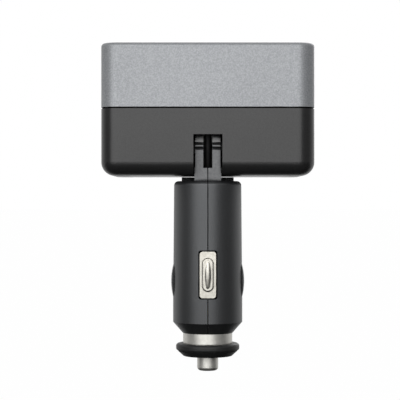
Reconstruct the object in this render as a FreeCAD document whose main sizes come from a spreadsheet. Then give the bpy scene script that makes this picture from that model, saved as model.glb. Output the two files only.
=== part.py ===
import FreeCAD, Part
import os
from types import SimpleNamespace

import Sketcher

# Two-way in-car socket splitter: a plug barrel with a hinged head that carries two sockets.
# Millimetres and degrees. +Z is up along the plug barrel's axis, the folding side of the head faces -Y.
# The origin is on the barrel's axis at the lower end of its guide land.

document = FreeCAD.newDocument("SocketSplitter")

driving = {
    # plug barrel, two moulded halves
    "land_radius": 10.2,
    "land_height": 6.8,
    "barrel_top_radius": 9.9,
    "barrel_height": 41.4,
    "barrel_wall": 1.8,
    "barrel_roof": 1.9,
    "shoulder_round": 1.3,
    "parting_gap": 0.2,
    "nose_radius": 7.4,
    "nose_height": 3.2,
    "spigot_radius": 6.4,
    "guide_wall": 1.2,
    "cavity_floor": 1.5,
    "chamber_radius": 7.0,
    "chamber_height": 3.5,
    "chamber_floor": 1.5,
    "bump_height": 0.56,
    "bump_length": 9.2,
    "bump_middle": 12.05,
    "bump_angle": 26.0,
    # rest pad on top of the barrel, behind the neck
    "rest_width": 15.3,
    "rest_depth": 7.0,
    "rest_gap": 0.35,
    # hinge neck
    "hinge_rise": 9.8,
    "hinge_forward": 4.0,
    "knuckle_radius": 3.5,
    "arm_width": 7.35,
    "arm_gap": 2.64,
    "neck_width": 7.74,
    "neck_height": 3.75,
    "trunnion_radius": 1.8,
    "trunnion_length": 1.5,
    "notch_width": 1.0,
    "notch_root": 0.3,
    "notch_depth": 1.3,
    "notch_first": 5.0,
    "notch_pitch": 22.5,
    "fold_angle": 90.0,
    # nose ring and fuse cap
    "ring_radius": 7.25,
    "ring_height": 3.1,
    "cap_rim_radius": 9.32,
    "cap_rim_height": 1.75,
    "cap_foot_radius": 7.1,
    "cap_height": 3.75,
    "cap_floor": 2.85,
    "cap_stem_height": 4.7,
    "cap_stem_wall": 0.8,
    "cap_stem_play": 0.1,
    "cap_rim_round": 0.8,
    "cap_foot_round": 0.5,
    "cap_groove_height": 0.35,
    "cap_groove_depth": 0.4,
    # tip contact and fuse
    "tip_radius": 3.1,
    "tip_reach": 4.3,
    "tip_round": 1.0,
    "tip_flange_height": 1.0,
    "tip_cup_depth": 1.8,
    "tip_cup_wall": 1.0,
    "slide_play": 0.15,
    "fuse_length": 30.0,
    "fuse_cap_radius": 3.15,
    "fuse_cap_length": 6.0,
    "fuse_cap_wall": 0.25,
    "fuse_glass_wall": 0.5,
    "fuse_wire_radius": 0.2,
    "guide_play": 0.35,
    "spring_radius": 2.4,
    "spring_wire_radius": 0.3,
    "spring_turns": 5,
    # spring terminal and ground strap
    "terminal_thickness": 0.8,
    "terminal_play": 0.2,
    "post_radius": 0.9,
    "post_hole_radius": 2.0,
    "post_height": 2.4,
    "lug_width": 2.4,
    "lug_thickness": 0.5,
    "strap_thickness": 0.5,
    "strap_inner_radius": 4.2,
    "strap_outer_radius": 6.3,
    "strap_leg_width": 3.5,
    "strap_leg_play": 0.1,
    "strap_leg_end": 8.0,
    # side contacts and their bow springs
    "window_width": 5.5,
    "window_height": 14.2,
    "window_middle": 14.2,
    "window_round": 0.8,
    "contact_width": 4.7,
    "contact_height": 13.4,
    "contact_round": 0.8,
    "contact_thickness": 0.5,
    "contact_recess": 0.6,
    "contact_pad_width": 3.3,
    "contact_pad_height": 9.8,
    "contact_pad_rise": 0.75,
    "contact_pad_round": 0.4,
    "contact_dome_width": 2.3,
    "contact_dome_height": 8.6,
    "contact_dome_end": 0.9,
    "contact_dome_rise": 1.15,
    "contact_ear_width": 3.4,
    "contact_ear_height": 1.5,
    "contact_ear_play": 0.1,
    "bow_width": 3.0,
    "bow_thickness": 0.3,
    "bow_radius": 6.7,
    "bow_angle": 118.0,
    "bow_play": 0.05,
    # leads
    "lead_radius": 0.95,
    "lead_pitch": 2.1,
    "lead_rise": 6.8,
    "passage_play": 0.2,
    # head shells
    "head_side_wall": 2.2,
    "head_end_wall": 4.8,
    "hinge_setback": 7.0,
    "head_gap": 1.45,
    "lower_height": 19.45,
    "upper_height": 18.55,
    "seam_gap": 0.45,
    "corner_radius": 5.0,
    "bottom_round": 4.0,
    "top_round": 1.0,
    "shell_wall": 2.0,
    "head_floor": 2.0,
    "head_roof": 3.0,
    "tongue_width": 0.8,
    "tongue_height": 1.3,
    "tongue_play": 0.1,
    # hinge box in the lower shell
    "slot_width": 8.4,
    "slot_play": 0.13,
    "cheek_width": 1.6,
    "hinge_box_wall": 1.5,
    "detent_room": 1.2,
    "trunnion_play": 0.06,
    # detent springs
    "detent_width": 2.1,
    "detent_thickness": 0.25,
    "detent_drop": 1.25,
    "detent_ridge": 0.6,
    "detent_ridge_half": 0.45,
    "detent_rise": 0.5,
    "detent_play": 0.06,
    # sockets
    "rim_spacing": 4.8,
    "socket_radius": 10.7,
    "sleeve_wall": 0.5,
    "sleeve_play": 0.2,
    "lip_width": 1.7,
    "socket_base": 4.65,
    "socket_step": 1.3,
    "socket_step_height": 3.5,
    "rim_over_lip": 0.2,
    "rim_play": 0.1,
    "rim_height": 1.1,
    "rim_mouth_play": 0.2,
    "rim_chamfer": 0.7,
    "insulator_radius": 6.0,
    "insulator_height": 0.8,
    "bush_radius": 2.9,
    "bush_play": 0.1,
    "centre_radius": 3.8,
    "centre_height": 1.2,
    "centre_round": 0.9,
    "rivet_radius": 1.5,
    "rivet_play": 0.05,
    "rivet_tail_radius": 2.3,
    "rivet_tail_height": 0.6,
    # bus bars
    "bar_thickness": 0.5,
    "positive_bar_width": 5.0,
    "ground_bar_width": 4.0,
    "ground_bar_reach": 14.0,
    "ground_bar_back": 6.0,
    "bar_drop": 1.4,
    # shell screws and their bosses
    "screw_inset": 6.4,
    "screw_radius": 1.25,
    "screw_play": 0.05,
    "screw_length": 14.0,
    "screw_head_radius": 2.1,
    "screw_head_height": 1.5,
    "screw_head_play": 0.1,
    "screw_seat": 6.3,
    "screw_pilot_spare": 1.0,
    "boss_radius": 2.8,
    "overlap": 0.3,
}

sheet = document.addObject("Spreadsheet::Sheet", "Sizes")
for row, (alias, number) in enumerate(driving.items(), start=1):
    sheet.set(f"A{row}", alias)
    sheet.set(f"B{row}", str(number))
    sheet.setAlias(f"B{row}", alias)
document.recompute()


class Size:
    """A number together with the sheet formula that drives it."""

    def __init__(self, value, formula):
        self.value = value
        self.formula = formula

    def combined(self, sign, other, value):
        text = other.formula if isinstance(other, Size) else str(other)
        return Size(value, f"({self.formula} {sign} {text})")

    def __add__(self, other):
        return self.combined("+", other, self.value + number_of(other))

    def __sub__(self, other):
        return self.combined("-", other, self.value - number_of(other))

    def __mul__(self, other):
        return self.combined("*", other, self.value * number_of(other))

    def __truediv__(self, other):
        return self.combined("/", other, self.value / number_of(other))

    def __neg__(self):
        return Size(-self.value, f"(-1 * {self.formula})")


def number_of(size):
    return size.value if isinstance(size, Size) else size


s = SimpleNamespace(**{alias: Size(float(sheet.get(alias)), f"Sizes.{alias}") for alias in driving})

# Heights and places that several pieces share
hinge_height = s.barrel_height + s.hinge_rise
head_bottom = s.barrel_height + s.head_gap
socket_floor = head_bottom + s.socket_base
sleeve_outer = s.socket_radius + s.sleeve_wall
lip_radius = sleeve_outer + s.lip_width
rim_radius = lip_radius + s.rim_over_lip
rim_seat = rim_radius + s.rim_play
head_depth = (rim_seat + s.head_end_wall) * 2
head_front = -(s.hinge_forward + s.hinge_setback)
head_middle = head_front + head_depth / 2
head_back = head_front + head_depth
seam_bottom = head_bottom + s.lower_height
seam_top = seam_bottom + s.seam_gap
head_top = seam_top + s.upper_height
floor_top = head_bottom + s.head_floor
roof_bottom = head_top - s.head_roof
tongue_top = seam_bottom + s.tongue_height
hinge_y = -s.hinge_forward

guide_radius = s.fuse_cap_radius + s.guide_play
guide_outer = guide_radius + s.guide_wall
cavity_radius = s.barrel_top_radius - s.barrel_wall
nose_face = -s.nose_height
ring_bottom = nose_face - s.ring_height
stem_radius = s.spigot_radius - s.cap_stem_wall - s.cap_stem_play - s.overlap
chamber_top = s.barrel_height - s.barrel_roof
chamber_bottom = chamber_top - s.chamber_height
terminal_top = chamber_bottom - s.chamber_floor
terminal_bottom = terminal_top - s.terminal_thickness
cap_foot = ring_bottom - s.cap_height
tip_seat = cap_foot + s.cap_floor
fuse_bottom = tip_seat + s.tip_flange_height
fuse_top = fuse_bottom + s.fuse_length
tip_cup_radius = s.fuse_cap_radius + s.slide_play + s.tip_cup_wall
fuse_glass_radius = s.fuse_cap_radius - s.fuse_cap_wall
post_top = terminal_top + s.post_height
strap_top = chamber_bottom + s.strap_thickness
strap_face = guide_outer + s.strap_leg_play

contact_face = s.land_radius - s.contact_recess
contact_back = contact_face - s.contact_thickness
ear_face = cavity_radius - s.contact_ear_play - s.overlap
ear_back = ear_face - s.contact_thickness
bow_middle = strap_face + s.strap_thickness + s.bow_play

lead_front = hinge_y - s.lead_pitch / 2
lead_rear = hinge_y + s.lead_pitch / 2
lead_turn = hinge_height + s.lead_rise

socket_x = rim_seat + s.rim_spacing / 2
head_half = socket_x + rim_seat + s.head_side_wall
socket_inside = socket_floor + s.sleeve_wall
lip_top = head_top - s.rim_height
lip_bottom = lip_top - s.sleeve_wall
positive_bar_top = socket_floor - s.bar_drop
positive_bar_bottom = positive_bar_top - s.bar_thickness
insulator_top = socket_inside + s.insulator_height
ground_bar_middle = head_middle + s.ground_bar_back

slot_half = s.slot_width / 2
slot_rear = hinge_y + s.knuckle_radius + s.slot_play
slot_top = hinge_height + s.knuckle_radius + s.slot_play
detent_ceiling = slot_top + s.detent_room
hinge_box_half = slot_half + s.cheek_width
hinge_box_top = detent_ceiling + s.hinge_box_wall
hinge_box_rear = slot_rear + s.hinge_box_wall
screw_seat_height = seam_bottom - s.screw_seat


def bind(thing, name, size):
    """Drives one property from the sheet."""
    if isinstance(size, Size):
        thing.setExpression(name, size.formula)


def new_body(label):
    body = document.addObject("PartDesign::Body", label)
    body.Label = label
    return body


def new_sketch(body, role, origin=(0, 0, 0)):
    """An empty sketch on one of the body's own planes, its origin moved along that plane's axes."""
    sketch = body.newObject("Sketcher::SketchObject", f"{body.Name}_outline")
    plane = next(item for item in body.Origin.OriginFeatures if item.Role == role)
    sketch.AttachmentSupport = (plane, [""])
    sketch.MapMode = "FlatFace"
    for axis, place in zip("xyz", origin):
        bind(sketch, f"AttachmentOffset.Base.{axis}", place)
    return sketch


def place_point(sketch, geometry, point, across=None, up=None):
    """Pins a sketch point to driven coordinates. A zero puts it on the axis itself."""
    for kind, axis_line, size in (("DistanceX", -2, across), ("DistanceY", -1, up)):
        if isinstance(size, Size):
            rule = Sketcher.Constraint(kind, -1, 1, geometry, point, size.value)
            sketch.setExpression(f"Constraints[{sketch.addConstraint(rule)}]", size.formula)
        elif size is not None:
            sketch.addConstraint(Sketcher.Constraint("PointOnObject", geometry, point, axis_line))


def vector(across, up):
    return FreeCAD.Vector(number_of(across), number_of(up), 0)


def polygon(sketch, corners):
    """A closed outline of straight lines."""
    first = sketch.GeometryCount
    count = len(corners)
    for index in range(count):
        ends = vector(*corners[index]), vector(*corners[(index + 1) % count])
        sketch.addGeometry(Part.LineSegment(*ends))
    for index in range(count):
        following = first + (index + 1) % count
        sketch.addConstraint(Sketcher.Constraint("Coincident", first + index, 2, following, 1))
    for index, (across, up) in enumerate(corners):
        place_point(sketch, first + index, 1, across, up)
    return sketch


def rectangle(sketch, left, right, bottom, top):
    return polygon(sketch, [(left, bottom), (right, bottom), (right, top), (left, top)])


def circle(sketch, across, up, radius):
    round_line = Part.Circle(vector(across, up), FreeCAD.Vector(0, 0, 1), radius.value)
    geometry = sketch.addGeometry(round_line)
    rule = sketch.addConstraint(Sketcher.Constraint("Radius", geometry, radius.value))
    sketch.setExpression(f"Constraints[{rule}]", radius.formula)
    place_point(sketch, geometry, 3, across, up)
    return sketch


def rounded_rectangle(sketch, left, right, bottom, top, radius):
    """A rectangle with four equal tangent corner arcs."""
    first = sketch.GeometryCount
    turn, upward = radius.value, FreeCAD.Vector(0, 0, 1)
    west, east, south, north = left.value, right.value, bottom.value, top.value
    lines = [
        ((west + turn, south), (east - turn, south)),
        ((east, south + turn), (east, north - turn)),
        ((east - turn, north), (west + turn, north)),
        ((west, north - turn), (west, south + turn)),
    ]
    centres = [
        (east - turn, south + turn),
        (east - turn, north - turn),
        (west + turn, north - turn),
        (west + turn, south + turn),
    ]
    quarter = Part.Circle().LastParameter / 4
    for (start, end), centre, step in zip(lines, centres, (3, 0, 1, 2)):
        sketch.addGeometry(Part.LineSegment(vector(*start), vector(*end)))
        round_line = Part.Circle(vector(*centre), upward, turn)
        sketch.addGeometry(Part.ArcOfCircle(round_line, step * quarter, (step + 1) * quarter))
    for side in range(4):
        line, arc = first + 2 * side, first + 2 * side + 1
        following = first + (2 * side + 2) % 8
        sketch.addConstraint(Sketcher.Constraint("Tangent", line, 2, arc, 1))
        sketch.addConstraint(Sketcher.Constraint("Tangent", arc, 2, following, 1))
        sketch.addConstraint(Sketcher.Constraint("Vertical" if side % 2 else "Horizontal", line))
        if side:
            sketch.addConstraint(Sketcher.Constraint("Equal", first + 1, arc))
    rule = sketch.addConstraint(Sketcher.Constraint("Radius", first + 1, radius.value))
    sketch.setExpression(f"Constraints[{rule}]", radius.formula)
    place_point(sketch, first, 1, up=bottom)
    place_point(sketch, first + 2, 1, across=right)
    place_point(sketch, first + 4, 1, up=top)
    place_point(sketch, first + 6, 1, across=left)
    return sketch


def stadium(sketch, middle, half_width, half_length, upright):
    """A slot outline with round ends, its middle on the other axis of the sketch."""
    reach = half_length - half_width
    if upright:
        corners = (-half_width, half_width, middle - half_length, middle + half_length)
    else:
        corners = (-half_length, half_length, middle - half_width, middle + half_width)
    first = sketch.GeometryCount
    turn, upward = half_width.value, FreeCAD.Vector(0, 0, 1)
    quarter = Part.Circle().LastParameter / 4
    low, high = (middle - reach, middle + reach) if upright else (-reach, reach)
    if upright:
        ends = [(0, low), (0, high)]
        sides = [(turn, low.value, turn, high.value), (-turn, high.value, -turn, low.value)]
        start = 2
    else:
        ends = [(low, middle), (high, middle)]
        sides = [(low.value, middle.value - turn, high.value, middle.value - turn)]
        sides.append((high.value, middle.value + turn, low.value, middle.value + turn))
        start = 1
    for index, (end, side) in enumerate(zip(ends, sides)):
        round_line = Part.Circle(vector(*end), upward, turn)
        begin = (start + 2 * index) * quarter
        sketch.addGeometry(Part.ArcOfCircle(round_line, begin, begin + 2 * quarter))
        line = FreeCAD.Vector(side[0], side[1], 0), FreeCAD.Vector(side[2], side[3], 0)
        sketch.addGeometry(Part.LineSegment(*line))
    for index in range(4):
        following = first + (index + 1) % 4
        sketch.addConstraint(Sketcher.Constraint("Tangent", first + index, 2, following, 1))
    sketch.addConstraint(Sketcher.Constraint("Equal", first, first + 2))
    rule = sketch.addConstraint(Sketcher.Constraint("Radius", first, half_width.value))
    sketch.setExpression(f"Constraints[{rule}]", half_width.formula)
    for index, (across, up) in enumerate(ends):
        place_point(sketch, first + 2 * index, 3, across, up)
    return sketch


def extrude(body, sketch, length, symmetric=False, against=False, cut=False):
    """Pads a sketch, or pockets it and makes sure that material went."""
    document.recompute()
    before = 0 if body.Shape.isNull() else body.Shape.Volume
    feature = body.newObject("PartDesign::Pocket" if cut else "PartDesign::Pad", f"{body.Name}_feature")
    feature.Profile = sketch
    feature.SideType = "Symmetric" if symmetric else "One side"
    feature.Reversed = against
    bind(feature, "Length", length)
    body.Tip = feature
    document.recompute()
    grown = body.Shape.Volume - before
    if (grown >= 0) if cut else (grown <= 0):
        raise RuntimeError(f"{feature.Name} changes nothing")
    return feature


def revolve(body, sketch, axis="V_Axis", angle=None, cut=False):
    """Turns a sketch about one of its own axes, evenly to both sides of its plane."""
    document.recompute()
    feature = body.newObject("PartDesign::Groove" if cut else "PartDesign::Revolution", f"{body.Name}_turned")
    feature.Profile = sketch
    feature.ReferenceAxis = (sketch, [axis])
    feature.Midplane = angle is not None
    bind(feature, "Angle", angle)
    body.Tip = feature
    document.recompute()
    return feature


def edge_box(edge):
    box = edge.BoundBox
    return {"x": (box.XMin, box.XMax), "y": (box.YMin, box.YMax), "z": (box.ZMin, box.ZMax)}


def lies_at(edge, axis, place):
    near = 1e-4
    return all(abs(end - number_of(place)) < near for end in edge_box(edge)[axis])


def dress(body, kind, size, chosen):
    """Fillets or chamfers the edges that the given test chooses."""
    document.recompute()
    base = body.Tip
    names = [f"Edge{index}" for index, edge in enumerate(base.Shape.Edges, start=1) if chosen(edge)]
    if not names:
        raise RuntimeError(f"{body.Name} has no edge for its {kind}")
    feature = body.newObject(f"PartDesign::{kind}", f"{body.Name}_{kind.lower()}")
    feature.Base = (base, names)
    bind(feature, "Radius" if kind == "Fillet" else "Size", size)
    body.Tip = feature
    document.recompute()
    return feature


def is_circle(edge, radius):
    return edge.Curve.TypeId == "Part::GeomCircle" and abs(edge.Curve.Radius - number_of(radius)) < 1e-4


def mirrored(source, label, normal):
    """The opposite-hand twin of a sub-part."""
    twin = document.addObject("Part::Mirroring", label)
    twin.Label = label
    twin.Source = source
    twin.Normal = normal
    return twin


to_left = FreeCAD.Vector(1, 0, 0)
to_rear = FreeCAD.Vector(0, 1, 0)


# Right barrel half: shell, fuse guide and lead chamber in one turned section
def make_barrel_half():
    body = new_body("barrel_right")
    section = new_sketch(body, "XZ_Plane")
    polygon(section, [
        (stem_radius + s.cap_stem_play, ring_bottom),
        (s.spigot_radius, ring_bottom),
        (s.spigot_radius, nose_face),
        (s.nose_radius, nose_face),
        (s.land_radius, 0),
        (s.land_radius, s.land_height),
        (s.barrel_top_radius, s.barrel_height),
        (0, s.barrel_height),
        (0, chamber_top),
        (s.chamber_radius, chamber_top),
        (s.chamber_radius, chamber_bottom),
        (s.post_hole_radius, chamber_bottom),
        (s.post_hole_radius, terminal_top),
        (guide_radius, terminal_top),
        (guide_radius, 0),
        (stem_radius + s.cap_stem_play, 0),
    ])
    rectangle(section, guide_outer, cavity_radius, s.cavity_floor, terminal_top)
    revolve(body, section, angle=Size(180, "180"))
    dress(body, "Fillet", s.shoulder_round,
          lambda edge: is_circle(edge, s.barrel_top_radius) and lies_at(edge, "z", s.barrel_height))
    add_side_bump(body)
    add_windows(body)
    add_neck(body)
    add_chamber_openings(body)
    split = new_sketch(body, "YZ_Plane")
    rectangle(split, -s.land_radius * 2, s.land_radius * 2, ring_bottom * 2, hinge_height * 2)
    extrude(body, split, s.parting_gap / 2, against=True, cut=True)
    return body


def add_side_bump(body):
    half = s.bump_length / 2
    arc_radius = (half * half + s.bump_height * s.bump_height) / (s.bump_height * 2)
    base = s.land_radius - s.overlap
    centre = base + s.bump_height + s.overlap - arc_radius
    sketch = new_sketch(body, "XZ_Plane")
    span = Part.Arc(vector(base, s.bump_middle - half), vector(centre + arc_radius, s.bump_middle),
                    vector(base, s.bump_middle + half))
    sketch.addGeometry(span)
    sketch.addGeometry(Part.LineSegment(vector(base, s.bump_middle + half), vector(base, s.bump_middle - half)))
    sketch.addConstraint(Sketcher.Constraint("Coincident", 0, 2, 1, 1))
    sketch.addConstraint(Sketcher.Constraint("Coincident", 1, 2, 0, 1))
    place_point(sketch, 0, 3, centre, s.bump_middle)
    place_point(sketch, 1, 1, base)
    rule = sketch.addConstraint(Sketcher.Constraint("Vertical", 1))
    rule = sketch.addConstraint(Sketcher.Constraint("Radius", 0, arc_radius.value))
    sketch.setExpression(f"Constraints[{rule}]", arc_radius.formula)
    revolve(body, sketch, angle=s.bump_angle)


def add_windows(body):
    low = s.window_middle - s.window_height / 2
    high = s.window_middle + s.window_height / 2
    outside = s.land_radius + s.barrel_top_radius
    depth = outside - guide_outer - s.strap_leg_play - s.strap_thickness
    for facing in (1, -1):
        sketch = new_sketch(body, "XZ_Plane", (0, 0, outside * facing))
        rounded_rectangle(sketch, -s.window_width / 2, s.window_width / 2, low, high, s.window_round)
        extrude(body, sketch, depth, against=facing < 0, cut=True)


def add_neck(body):
    neck_top = s.barrel_height + s.neck_height
    front, rear = hinge_y - s.knuckle_radius, hinge_y + s.knuckle_radius
    seat = s.barrel_height - s.overlap
    rest = new_sketch(body, "XY_Plane", (0, 0, seat))
    rectangle(rest, 0, s.rest_width / 2, rear - s.overlap, rear + s.rest_depth)
    extrude(body, rest, head_bottom - s.rest_gap - seat)
    foot = new_sketch(body, "XY_Plane", (0, 0, seat))
    rectangle(foot, 0, s.neck_width / 2, front, rear)
    extrude(body, foot, neck_top - seat)
    arm = new_sketch(body, "YZ_Plane", (0, 0, s.arm_gap / 2))
    rectangle(arm, front, rear, seat, hinge_height)
    extrude(body, arm, (s.arm_width - s.arm_gap) / 2)
    knuckle = new_sketch(body, "YZ_Plane", (0, 0, s.arm_gap / 2))
    circle(knuckle, hinge_y, hinge_height, s.knuckle_radius)
    extrude(body, knuckle, (s.arm_width - s.arm_gap) / 2)
    trunnion = new_sketch(body, "YZ_Plane", (0, 0, s.arm_width / 2 - s.overlap))
    circle(trunnion, hinge_y, hinge_height, s.trunnion_radius)
    extrude(body, trunnion, s.trunnion_length + s.overlap)
    for fold in (s.notch_first, s.notch_first + s.notch_pitch):
        add_notch(body, fold)
        add_notch(body, s.fold_angle + s.notch_first * 2 - fold)


def add_notch(body, fold):
    """One click of the hinge: a tapered notch across the knuckle, at the given fold from its top."""
    notch = new_sketch(body, "YZ_Plane", (hinge_y, hinge_height, 0))
    notch.setExpression("AttachmentOffset.Rotation.Angle", (fold + 90).formula)
    root, mouth = s.notch_root / 2, s.notch_width / 2
    polygon(notch, [
        (s.knuckle_radius - s.notch_depth, -root),
        (s.knuckle_radius, -mouth),
        (s.knuckle_radius + s.notch_depth, -mouth),
        (s.knuckle_radius + s.notch_depth, mouth),
        (s.knuckle_radius, mouth),
        (s.knuckle_radius - s.notch_depth, root),
    ])
    extrude(body, notch, s.arm_width / 2, against=True, cut=True)


def add_chamber_openings(body):
    half = s.lead_radius + s.passage_play
    passage = new_sketch(body, "XY_Plane", (0, 0, chamber_top - s.overlap))
    rectangle(passage, -half, half, lead_front - half, lead_rear + half)
    extrude(body, passage, s.barrel_roof + s.neck_height + s.overlap * 2, against=True, cut=True)
    leg = new_sketch(body, "XY_Plane", (0, 0, chamber_bottom))
    leg_half = s.strap_leg_width / 2 + s.strap_leg_play
    inner, outer = guide_outer, strap_face + s.strap_thickness + s.strap_leg_play
    rectangle(leg, -leg_half, leg_half, inner, outer)
    rectangle(leg, -leg_half, leg_half, -outer, -inner)
    extrude(body, leg, s.chamber_floor, cut=True)


def turned(label, corners, across=None, along=None):
    """A body turned from one closed section about its own upright axis."""
    body = new_body(label)
    section = new_sketch(body, "XZ_Plane")
    polygon(section, corners)
    revolve(body, section)
    bind(body, "Placement.Base.x", across)
    bind(body, "Placement.Base.y", along)
    return body


# Plated ring that clamps the two halves' spigot
def make_nose_ring():
    bore = s.spigot_radius + s.rivet_play
    return turned("nose_ring", [
        (bore, ring_bottom), (s.ring_radius, ring_bottom), (s.ring_radius, nose_face), (bore, nose_face),
    ])


# Flared cap, its stem in the spigot and its bore round the tip
def make_tip_cap():
    hole = s.tip_radius + s.slide_play
    bore = tip_cup_radius + s.slide_play
    stem_top = ring_bottom + s.cap_stem_height
    rim_foot = ring_bottom - s.cap_rim_height
    body = turned("tip_cap", [
        (stem_radius, stem_top),
        (stem_radius, ring_bottom),
        (s.cap_rim_radius, ring_bottom),
        (s.cap_rim_radius, rim_foot),
        (s.cap_foot_radius, cap_foot),
        (hole, cap_foot),
        (hole, tip_seat),
        (bore, tip_seat),
        (bore, stem_top),
    ])
    dress(body, "Fillet", s.cap_rim_round, lambda edge: is_circle(edge, s.cap_rim_radius))
    dress(body, "Fillet", s.cap_foot_round, lambda edge: is_circle(edge, s.cap_foot_radius))
    groove = new_sketch(body, "XZ_Plane")
    groove_floor = s.cap_rim_radius - s.cap_rim_round / 2 - s.cap_groove_depth
    groove_top = rim_foot - s.cap_groove_height / 2
    rectangle(groove, groove_floor, s.cap_rim_radius + s.overlap, groove_top - s.cap_groove_height, groove_top)
    revolve(body, groove, cut=True)
    return body


# Tip with a round end, a flange on the cap's floor and a cup for the fuse
def make_tip_contact():
    recess = s.fuse_cap_radius + s.slide_play
    tip_end = cap_foot - s.tip_reach
    cup_top = fuse_bottom + s.tip_cup_depth
    body = turned("tip_contact", [
        (0, tip_end),
        (s.tip_radius, tip_end),
        (s.tip_radius, tip_seat),
        (tip_cup_radius, tip_seat),
        (tip_cup_radius, cup_top),
        (recess, cup_top),
        (recess, fuse_bottom),
        (0, fuse_bottom),
    ])
    dress(body, "Fillet", s.tip_round, lambda edge: lies_at(edge, "z", tip_end))
    return body


def cylinder(label, radius, low, high, across=None, along=None):
    solid = document.addObject("Part::Cylinder", label)
    bind(solid, "Radius", radius)
    bind(solid, "Height", high - low)
    bind(solid, "Placement.Base.z", low)
    bind(solid, "Placement.Base.x", across)
    bind(solid, "Placement.Base.y", along)
    return solid


def cut(label, base, tool):
    result = document.addObject("Part::Cut", label)
    result.Base = base
    result.Tool = tool
    return result


def group(label, pieces):
    together = document.addObject("Part::Compound", label)
    together.Label = label
    together.Links = pieces
    return together


# Cartridge fuse: glass tube, two end caps and the wire between them
def make_fuse():
    end_wall = s.fuse_cap_wall
    glass_low, glass_high = fuse_bottom + end_wall, fuse_top - end_wall
    tube = cylinder("fuse_tube", fuse_glass_radius, glass_low, glass_high)
    bore = cylinder("fuse_tube_bore", fuse_glass_radius - s.fuse_glass_wall, glass_low, glass_high)
    glass = cut("fuse_glass", tube, bore)
    caps = []
    for name, low, high, hollow_low, hollow_high in (
        ("lower", fuse_bottom, fuse_bottom + s.fuse_cap_length, glass_low, fuse_bottom + s.fuse_cap_length),
        ("upper", fuse_top - s.fuse_cap_length, fuse_top, fuse_top - s.fuse_cap_length, glass_high),
    ):
        outside = cylinder(f"fuse_{name}_cap_outside", s.fuse_cap_radius, low, high)
        inside = cylinder(f"fuse_{name}_cap_inside", fuse_glass_radius, hollow_low, hollow_high)
        caps.append(cut(f"fuse_{name}_cap", outside, inside))
    wire = cylinder("fuse_wire", s.fuse_wire_radius, glass_low, glass_high)
    return [glass, group("fuse_caps", caps), wire]


# Coil spring between the fuse and its terminal
def make_tip_spring():
    body = new_body("tip_spring")
    wire = new_sketch(body, "XZ_Plane")
    circle(wire, s.spring_radius, fuse_top + s.spring_wire_radius, s.spring_wire_radius)
    document.recompute()
    coil = body.newObject("PartDesign::AdditiveHelix", "tip_spring_coil")
    coil.Profile = wire
    coil.ReferenceAxis = (wire, ["V_Axis"])
    coil.Mode = "height-turns-angle"
    bind(coil, "Height", terminal_bottom - fuse_top - s.spring_wire_radius * 2)
    bind(coil, "Turns", s.spring_turns)
    body.Tip = coil
    return body


# Terminal disc under the chamber floor, with a post through it and a lug for the positive lead
def make_spring_terminal():
    body = turned("spring_terminal", [
        (0, terminal_bottom),
        (guide_radius - s.terminal_play, terminal_bottom),
        (guide_radius - s.terminal_play, terminal_top),
        (s.post_radius, terminal_top),
        (s.post_radius, post_top),
        (0, post_top),
    ])
    lug = new_sketch(body, "XY_Plane", (0, 0, post_top))
    rectangle(lug, -s.lug_width / 2, s.lug_width / 2, lead_rear - s.lead_radius, s.post_radius + s.overlap)
    extrude(body, lug, s.lug_thickness)
    return body


# Ground ring on the chamber floor with a leg down the front and the rear of the fuse guide
def make_ground_strap():
    body = turned("ground_strap", [
        (s.strap_inner_radius, chamber_bottom),
        (s.strap_outer_radius, chamber_bottom),
        (s.strap_outer_radius, strap_top),
        (s.strap_inner_radius, strap_top),
    ])
    half = s.strap_leg_width / 2
    legs = new_sketch(body, "XY_Plane", (0, 0, s.strap_leg_end))
    rectangle(legs, -half, half, strap_face, strap_face + s.strap_thickness)
    extrude(body, legs, strap_top - s.strap_leg_end)
    return add_rear_leg(body, half)


def add_rear_leg(body, half):
    leg = new_sketch(body, "XY_Plane", (0, 0, s.strap_leg_end))
    rectangle(leg, -half, half, -(strap_face + s.strap_thickness), -strap_face)
    extrude(body, leg, strap_top - s.strap_leg_end)
    return body


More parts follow.
